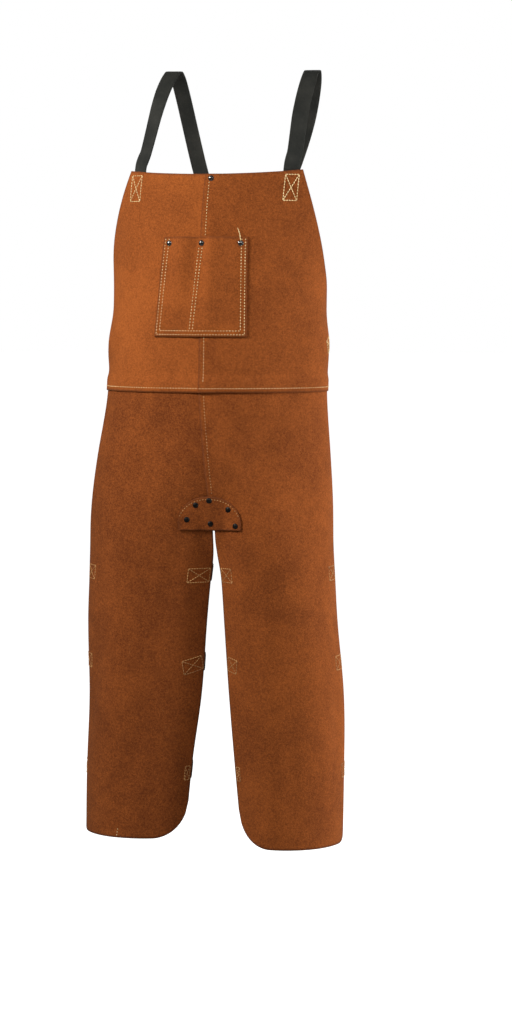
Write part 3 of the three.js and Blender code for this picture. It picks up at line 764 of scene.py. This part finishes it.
def thread_material(name, clean, soiled):
    material, tree, shader = new_material(name)
    place = object_place(tree)
    grime = noise_node(tree, place, 45.0, 4, 0.6)
    twist = noise_node(tree, place, 2600.0, 2, 0.5)
    soiling = range_node(tree, grime, 0.35, 0.68)
    link(tree, mix_colour(tree, soiling, clean, soiled), shader.inputs["Base Color"])
    shader.inputs["Roughness"].default_value = 0.72
    add_bump(tree, shader, twist, 0.4, 0.0003)
    return material


cream_thread = thread_material("cream_thread", (0.80, 0.60, 0.30, 1), (0.55, 0.36, 0.15, 1))
tan_thread = thread_material("tan_thread", (0.50, 0.25, 0.08, 1), (0.26, 0.105, 0.030, 1))


def sew(bm, points, normals, pitch_mm=PITCH, stitch_mm=STITCH):
    """Adds a row of stitches along points in metres on the leather's outer face."""
    points, normals = np.asarray(points), np.asarray(normals)
    steps = np.linalg.norm(np.diff(points, axis=0), axis=1)
    reach = np.concatenate([[0], np.cumsum(steps)])
    count = max(1, round(reach[-1] / (pitch_mm * MM)))
    pitch, share = reach[-1] / count, stitch_mm / pitch_mm / 2
    for i in range(count):
        ends = (i + 0.5 - share) * pitch, (i + 0.5 + share) * pitch
        a, b, middle = (Vector([np.interp(d, reach, points[:, k]) for k in range(3)])
                        for d in (*ends, sum(ends) / 2))
        normal = Vector([np.interp(sum(ends) / 2, reach, normals[:, k]) for k in range(3)]).normalized()
        run = (b - a).normalized()
        side = normal.cross(run).normalized()
        turn = Matrix((run, side, run.cross(side))).transposed().to_4x4()
        size = Matrix.Diagonal(((b - a).length * 0.56, THREAD * MM, THREAD * 0.85 * MM, 1))
        lie = Matrix.Translation(middle) @ turn @ size @ Matrix.Rotation(math.pi / 2, 4, "Y")
        bmesh.ops.create_uvsphere(bm, u_segments=6, v_segments=5, radius=1, matrix=lie)


def outward_at(q, z):
    return np.where((q < 0)[:, None], outward(-1, np.abs(q), z), outward(1, np.abs(q), z))


def seam_path(q_ends, z_ends, offset, count=60):
    """Points and normals of a straight row on the flat leather between two places."""
    t = np.linspace(0, 1, count)
    q, z = lerp(q_ends[0], q_ends[1], t), lerp(z_ends[0], z_ends[1], t)
    off = offset(q, z) if callable(offset) else np.full(count, float(offset))
    return both_sides(q, z, off + LEATHER / 2 + THREAD_LIFT), outward_at(q, z)


def sewn_piece(name, rows, body, thread=cream_thread, **sizes):
    bm = bmesh.new()
    for points, normals in rows:
        sew(bm, points, normals, **sizes)
    return finished(name, bm, thread, body)


def bib_face(sign):
    return lambda q, z: bib_offset(sign, np.abs(q), z)


def hip_face(sign):
    return lambda q, z: hip_offset(sign, np.abs(q), z)


CENTRE_ROW = (2, 2)
WAIST_ROW = (WAIST - WAIST_LAP + 7,) * 2
sewn_piece("bib_seam_thread", [seam_path(CENTRE_ROW, (BIB_TOP - 9, WAIST + 9), bib_face(1), 120)], "apron")
sewn_piece("waist_seam_thread", [
    seam_path((-HALF_WIDTH + 6, -SEAM_LAP - 1), WAIST_ROW, bib_face(-1)),
    seam_path((-SEAM_LAP + 1, HALF_WIDTH - 6), WAIST_ROW, bib_face(1)),
], "apron")
sewn_piece("hip_seam_thread", [
    seam_path(CENTRE_ROW, (WAIST - WAIST_LAP - 4, PATCH_BOTTOM + PATCH_TALL + 3), hip_face(1), 80),
], "apron", tan_thread)

pocket_rows = []
low_right = POCKET_RIGHT + POCKET_FLARE
for inset in (3.5, 9.5):
    high, low, end = POCKET_TOP - 2, POCKET_BOTTOM + inset, POCKET_LEFT - inset
    pocket_rows += [seam_path(*row, pocket_offset) for row in (
        ((POCKET_RIGHT + inset, low_right + inset), (high, low)),
        ((low_right + inset, end), (low, low)),
        ((end, end), (low, high)))]
for shift in (-2.6, 2.6):
    pocket_rows.append(seam_path((DIVIDER_TOP + shift, DIVIDER_BOTTOM + shift),
                                 (POCKET_TOP - 16, POCKET_BOTTOM + 11), pocket_offset))
sewn_piece("pocket_thread", pocket_rows, "apron")


def patch_row():
    t = np.linspace(-0.97, 0.97, 90)
    q = PATCH_CENTRE + (PATCH_HALF - 4) * np.sin(t * np.pi / 2)
    z = PATCH_BOTTOM + 3 + (patch_height(q) - 7)
    return both_sides(q, z, patch_offset(q) + LEATHER / 2 + 0.1), outward_at(q, z)


sewn_piece("patch_thread", [patch_row()], "apron", tan_thread)

# A cut end of thread left standing above the pocket's left rivet, and one at the right hem
sewn_piece("loose_thread", [
    seam_path((57, 55), (-270, -259), lambda q, z: LAYER * over_seam(q) + 1.6, 10),
    seam_path((55, 51), (-259, -250), lambda q, z: 1.2 + (z + 259) * -0.2, 10)],
    "apron", pitch_mm=CHAIN, stitch_mm=CHAIN * 1.1)
sewn_piece("hem_thread", [seam_path((-117, -118), (-1198, -1212), 0, 10)], "right_leg")

BOX_LENGTH, BOX_WIDTH, OUTER_LENGTH = 40.0, 22.0, 32.0
BOX_STITCHES = {"pitch_mm": 4.4, "stitch_mm": 3.5}
CORNERS = ((-1, -1), (1, -1), (1, 1), (-1, 1))
BOX_LINES = ((0, 1), (1, 2), (2, 3), (3, 0), (0, 2), (1, 3))


def box_and_cross(q, z, lean, offset, length=BOX_LENGTH):
    """The box and cross sewn through a webbing end: lean turns it from upright, in degrees."""
    a = math.radians(lean)
    half = [(x * BOX_WIDTH / 2, y * length / 2) for x, y in CORNERS]
    corners = [(q + x * math.cos(a) - y * math.sin(a), z + x * math.sin(a) + y * math.cos(a))
               for x, y in half]
    return [seam_path((corners[i][0], corners[j][0]), (corners[i][1], corners[j][1]), offset, 12)
            for i, j in BOX_LINES]


STRAP_CENTRE = 128.0
LEG_STRAPS = {"thigh": -794.0, "knee": -937.0, "calf": -1111.0}
INNER_BOX, OUTER_BOX = 6.0, 231.0
EAR_BOX = (236.0, -433.0, 20.0)
EAR_LEAN = -65.5
INNER_LENGTHS = {(-1, "thigh"): 38.0, (-1, "knee"): 34.0, (1, "thigh"): 24.0, (1, "knee"): 21.0,
                 (-1, "calf"): 9.0, (1, "calf"): 9.0}
INNER_LEAN = {(-1, "knee"): 14.0, (1, "knee"): 12.0}
for sign, side in SIDES.items():
    sewn_piece(f"bib_box_thread_{side}", box_and_cross(
        sign * (STRAP_CENTRE + 2), BIB_TOP - 28, 0, 0) + box_and_cross(
        sign * EAR_BOX[0], EAR_BOX[1], sign * EAR_LEAN, 0, EAR_BOX[2]), "apron", **BOX_STITCHES)
    for level, z in LEG_STRAPS.items():
        length, lean = INNER_LENGTHS[sign, level], INNER_LEAN.get((sign, level), 0)
        rows = box_and_cross(sign * (INNER_BOX + length / 2), z, 90 - sign * lean, hip_face(sign), length)
        rows += box_and_cross(sign * OUTER_BOX, z, 90, 0, OUTER_LENGTH)
        sewn_piece(f"{level}_box_thread_{side}", rows, f"{side}_leg", tan_thread, **BOX_STITCHES)


# ---- Webbing ---------------------------------------------------------------------------------
# Charcoal polypropylene webbing, 25.4 mm wide and 1.5 mm thick, ribbed along its length. The
# ends are sewn inside the leather, and the free ends turn round the buckles' bars.

WEBBING_WIDTH, WEBBING = 0.0254, 0.0015
RIB_WIDTH, PICK_LENGTH = 0.0018, 0.0014


def webbing_group():
    """Ribs along the band and picks across it, from a band's own length and width in metres, with a mask for
    painted shade in the grooves between the ribs.
    """
    tree = bpy.data.node_groups.new("ribbed_weave", "ShaderNodeTree")
    add_socket(tree, "Band", "NodeSocketVector", "INPUT")
    add_socket(tree, "Rib Width", "NodeSocketFloat", "INPUT", RIB_WIDTH)
    for name in ("Height", "Painted_Groove_Shade"):
        add_socket(tree, name, "NodeSocketFloat", "OUTPUT")
    inside = tree.nodes.new("NodeGroupInput")
    out = tree.nodes.new("NodeGroupOutput")
    parts = tree.nodes.new("ShaderNodeSeparateXYZ")
    link(tree, inside.outputs["Band"], parts.inputs[0])
    rib_turn = math_node(tree, "DIVIDE", math_node(tree, "MULTIPLY", parts.outputs["Y"], math.tau),
                         inside.outputs["Rib Width"])
    rib = math_node(tree, "ABSOLUTE", math_node(tree, "SINE", math_node(tree, "MULTIPLY", rib_turn, 0.5)))
    pick_turn = math_node(tree, "MULTIPLY", parts.outputs["X"], math.tau / PICK_LENGTH)
    slant = math_node(tree, "ADD", pick_turn, math_node(tree, "MULTIPLY", rib_turn, 0.5))
    pick = math_node(tree, "ADD", math_node(tree, "MULTIPLY", math_node(tree, "SINE", slant), 0.5), 0.5)
    link(tree, blend_node(tree, rib, 0.7, pick, 0.3), out.inputs["Height"])
    link(tree, range_node(tree, rib, 0.0, 0.45, 1.0, 0.0), out.inputs["Painted_Groove_Shade"])
    return tree


RIBBED_WEAVE = webbing_group()


def webbing_material():
    material, tree, shader = new_material("charcoal_webbing")
    coordinates = tree.nodes.new("ShaderNodeTexCoord")
    weave = tree.nodes.new("ShaderNodeGroup")
    weave.node_tree = RIBBED_WEAVE
    weave.inputs["Rib Width"].default_value = RIB_WIDTH
    link(tree, coordinates.outputs["UV"], weave.inputs["Band"])
    fuzz = noise_node(tree, coordinates.outputs["Object"], 700.0, 4, 0.6)
    fade = noise_node(tree, coordinates.outputs["Object"], 22.0, 4, 0.6)
    base = mix_colour(tree, range_node(tree, fade, 0.35, 0.7),
                      (0.014, 0.015, 0.013, 1), (0.028, 0.028, 0.024, 1))
    fuzzy = mix_colour(tree, range_node(tree, fuzz, 0.5, 0.75, 0.0, 0.35), base, (0.075, 0.075, 0.062, 1))
    # Darker in the grooves between the ribs: painted shade.
    link(tree, mix_colour(tree, math_node(tree, "MULTIPLY", weave.outputs["Painted_Groove_Shade"], 0.75), fuzzy,
                          (0.008, 0.009, 0.008, 1)), shader.inputs["Base Color"])
    link(tree, range_node(tree, fuzz, 0.3, 0.7, 0.70, 0.9), shader.inputs["Roughness"])
    shader.inputs["Specular IOR Level"].default_value = 0.2
    add_bump(tree, shader, weave.outputs["Height"], 0.7, 0.0005)
    return material


charcoal_webbing = webbing_material()
SAME_LENGTH = 1e-5
BAND_HALF_THICK, BAND_ROUND, BAND_TUCK = 0.00072, 0.45, 0.0002


def band_rings(node):
    """Middle, width direction and face direction of each ring of a plain band, in order."""
    bm = bmesh.new()
    bm.from_mesh(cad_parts[node].data)
    bmesh.ops.remove_doubles(bm, verts=bm.verts[:], dist=WELD)

    def is_long(edge, length):
        return edge is not None and abs(edge.calc_length() - length) < SAME_LENGTH

    rings, owner = [], {}
    for edge in bm.edges:
        a, b = edge.verts
        if a in owner or not is_long(edge, WEBBING_WIDTH):
            continue
        below = [[e.other_vert(v) for e in v.link_edges if is_long(e, WEBBING)] for v in (a, b)]
        match = next(((c, d) for c in below[0] for d in below[1]
                      if is_long(bm.edges.get((c, d)), WEBBING_WIDTH)), None)
        if match:
            for vert in (a, b, *match):
                owner[vert] = len(rings)
            top, low = (a.co + b.co) / 2, (match[0].co + match[1].co) / 2
            rings.append(((top + low) / 2, (b.co - a.co).normalized(), (top - low).normalized()))
    beside = {i: set() for i in range(len(rings))}
    for edge in bm.edges:
        i, j = (owner.get(v) for v in edge.verts)
        if None not in (i, j) and i != j:
            beside[i].add(j)
            beside[j].add(i)
    bm.free()
    order = [min(i for i in beside if len(beside[i]) == 1)]
    while ahead := [j for j in beside[order[-1]] if j not in order]:
        order.append(min(ahead))
    return [rings[i] for i in order]


def spline(values, parts):
    """A smooth curve through rows of numbers, with parts steps between each pair."""
    rows = np.asarray(values, float)
    padded = np.vstack([2 * rows[0] - rows[1], rows, 2 * rows[-1] - rows[-2]])
    out = []
    for i in range(1, len(rows)):
        p0, p1, p2, p3 = padded[i - 1:i + 3]
        for t in np.arange(parts) / parts:
            out.append(0.5 * (2 * p1 + (p2 - p0) * t + (2 * p0 - 5 * p1 + 4 * p2 - p3) * t**2
                              + (3 * p1 - p0 - 3 * p2 + p3) * t**3))
    out.append(rows[-1])
    return np.array(out)


BAND_SECTION = [(x, 1) for x in np.linspace(-1, 1, 9)] + [(x, -1) for x in np.linspace(1, -1, 9)]


def webbing(name, node, body, parts=3):
    """A finer band through the rings of a plain one, with rounded selvedges."""
    rings = band_rings(node)
    middles = spline([r[0] for r in rings], parts)
    widths, faces = [rings[0][1]], [rings[0][2]]
    for _, width, face in rings[1:]:
        widths.append(width if width.dot(widths[-1]) > 0 else -width)
        faces.append(face if face.dot(faces[-1]) > 0 else -face)
    widths, faces = spline(widths, parts), spline(faces, parts)
    lengths = np.concatenate([[0], np.cumsum(np.linalg.norm(np.diff(middles, axis=0), axis=1))])
    bm = bmesh.new()
    around = len(BAND_SECTION)
    bmesh.ops.create_grid(bm, x_segments=len(middles) - 1, y_segments=around, size=0.5)
    lies = bm.loops.layers.uv.new("band")
    place = {}
    for vert in bm.verts:
        i = round((vert.co.x + 0.5) * (len(middles) - 1))
        k = round((vert.co.y + 0.5) * around)
        place[vert] = (i, k)
        x, face = BAND_SECTION[k % around]
        half = WEBBING_WIDTH / 2 - (BAND_TUCK if abs(x) > 0.99 else 0)
        thick = BAND_HALF_THICK * (1 - BAND_ROUND * abs(x) ** 12)
        w, n = Vector(widths[i]).normalized(), Vector(faces[i]).normalized()
        vert.co = Vector(middles[i]) + w * x * half + n * face * thick
    for piece_face in bm.faces:
        for loop in piece_face.loops:
            i, k = place[loop.vert]
            loop[lies].uv = (lengths[i], BAND_SECTION[k % around][0] * WEBBING_WIDTH / 2)
    bmesh.ops.remove_doubles(bm, verts=bm.verts[:], dist=WELD)
    bmesh.ops.holes_fill(bm, edges=bm.edges[:], sides=0)
    bmesh.ops.recalc_face_normals(bm, faces=bm.faces[:])
    band = finished(name, bm, charcoal_webbing, body)
    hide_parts(node)
    return band, middles


def follow_plug(band, middles, plug, holder):
    """Bakes the band's placement into its mesh."""
    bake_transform(band)


for sign, side in SIDES.items():
    webbing(f"shoulder_band_{side}", f"shoulder_webbing_{side}", "apron")
    webbing(f"waist_tab_band_{side}", f"waist_tab_{side}", "apron")
    follow_plug(*webbing(f"back_band_{side}", f"back_webbing_{side}", None), f"waist_plug_{side}", "apron")
    for level in LEG_STRAPS:
        webbing(f"{level}_tab_band_{side}", f"{level}_tab_{side}", f"{side}_leg")
        band = webbing(f"{level}_band_{side}", f"{level}_webbing_{side}", None)
        follow_plug(*band, f"{level}_plug_{side}", f"{side}_leg")


# ---- Back yoke -------------------------------------------------------------------------------
# Two leather plates with round corners, sewn together over the four webbing ends. It sits
# between the shoulder blades. A row of stitches goes round it and a box and cross holds each end.

yoke_suede = suede("yoke_suede", 0.48)
YOKE_INSET, YOKE_CORNER, CORNER_STEPS = 0.005, 0.012, 8
TO_BACK = (0, 1, 0)


def yoke_plate(name, node):
    bm = bmesh.new()
    bm.from_mesh(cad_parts[node].data)
    bmesh.ops.remove_doubles(bm, verts=bm.verts[:], dist=WELD)
    bmesh.ops.dissolve_limit(bm, angle_limit=math.radians(3), verts=bm.verts[:], edges=bm.edges[:])
    cut = bm.verts.layers.float.new("cut_edge")
    rims = [e for e in bm.edges if e.calc_face_angle(0) > math.radians(60)]
    bmesh.ops.bevel(bm, geom=rims, offset=0.0005, affect="EDGES", segments=2, profile=0.5, material=-1)
    for vert in bm.verts:
        vert[cut] = 0.0
    tops = [f for f in bm.faces if f.calc_area() > 0.004]
    for _ in range(3):
        bmesh.ops.inset_region(bm, faces=tops, thickness=0.002)
        for face in tops:
            for vert in face.verts:
                vert[cut] = min(v[cut] for v in face.verts) + 2.0
    plate = finished(name, bm, yoke_suede, "apron", smooth_shade=False)
    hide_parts(node)
    return plate


yoke_plate("yoke_outer_plate", "yoke_outer")
yoke_plate("yoke_inner_plate", "yoke_inner")


def yoke_rows():
    low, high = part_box("yoke_outer")
    middle = (np.array(low) + np.array(high)) / 2
    face = high[1] + 0.00012
    r = YOKE_CORNER
    w, h = ((high[k] - low[k]) / 2 - YOKE_INSET for k in (0, 2))
    loop = []
    for k, (sx, sz) in enumerate(((1, 1), (-1, 1), (-1, -1), (1, -1))):
        for t in math.pi / 2 * k + np.linspace(0, math.pi / 2, CORNER_STEPS):
            loop.append((middle[0] + (w - r) * sx + r * math.cos(t), face,
                         middle[2] + (h - r) * sz + r * math.sin(t)))
    loop.append(loop[0])
    rows = [(loop, [TO_BACK] * len(loop))]
    for sx, sz in ((1, 1), (-1, 1), (1, -1), (-1, -1)):
        centre = (middle[0] + sx * (0.019 if sz > 0 else 0.032), middle[2] + sz * 0.026)
        w, h = (0.009, 0.011) if sz > 0 else (0.012, 0.008)
        corners = [(centre[0] + a * w, face, centre[1] + b * h) for a, b in CORNERS]
        rows += [([corners[i], corners[j]], [TO_BACK] * 2) for i, j in BOX_LINES]
    return rows


sewn_piece("yoke_thread", yoke_rows(), "apron")


# ---- Buckles ---------------------------------------------------------------------------------
# Side-release buckles moulded in black acetal with a fine satin texture. The socket stays with
# the short tab, and the plug rides on its own body.

def acetal():
    material, tree, shader = new_material("black_acetal")
    place = object_place(tree)
    texture = noise_node(tree, place, 1500.0, 3, 0.5)
    handling = noise_node(tree, place, 70.0, 5, 0.6, 0.7)
    link(tree, mix_colour(tree, range_node(tree, handling, 0.4, 0.7), (0.014, 0.014, 0.015, 1),
                          (0.032, 0.031, 0.030, 1)), shader.inputs["Base Color"])
    link(tree, range_node(tree, handling, 0.3, 0.7, 0.38, 0.58), shader.inputs["Roughness"])
    add_bump(tree, shader, texture, 0.25, 0.00015)
    return material


black_acetal = acetal()


def moulded(name, node, body):
    bm = bmesh.new()
    bm.from_mesh(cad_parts[node].data)
    bmesh.ops.remove_doubles(bm, verts=bm.verts[:], dist=WELD)
    bmesh.ops.dissolve_limit(bm, angle_limit=math.radians(2), verts=bm.verts[:], edges=bm.edges[:])
    sharp = [e for e in bm.edges if e.is_manifold and e.calc_face_angle(0) > math.radians(35)]
    bmesh.ops.bevel(bm, geom=sharp, offset=0.00045, affect="EDGES", segments=2, profile=0.5,
                    material=-1, clamp_overlap=True)
    piece = finished(name, bm, black_acetal, body, smooth_shade=False)
    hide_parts(node)
    return piece


for side in SIDES.values():
    for level in ("waist", *LEG_STRAPS):
        holder = "apron" if level == "waist" else f"{side}_leg"
        moulded(f"{level}_buckle_socket_{side}", f"{level}_socket_{side}", holder)
        moulded(f"{level}_buckle_plug_{side}", f"{level}_plug_{side}", f"{level}_plug_{side}")
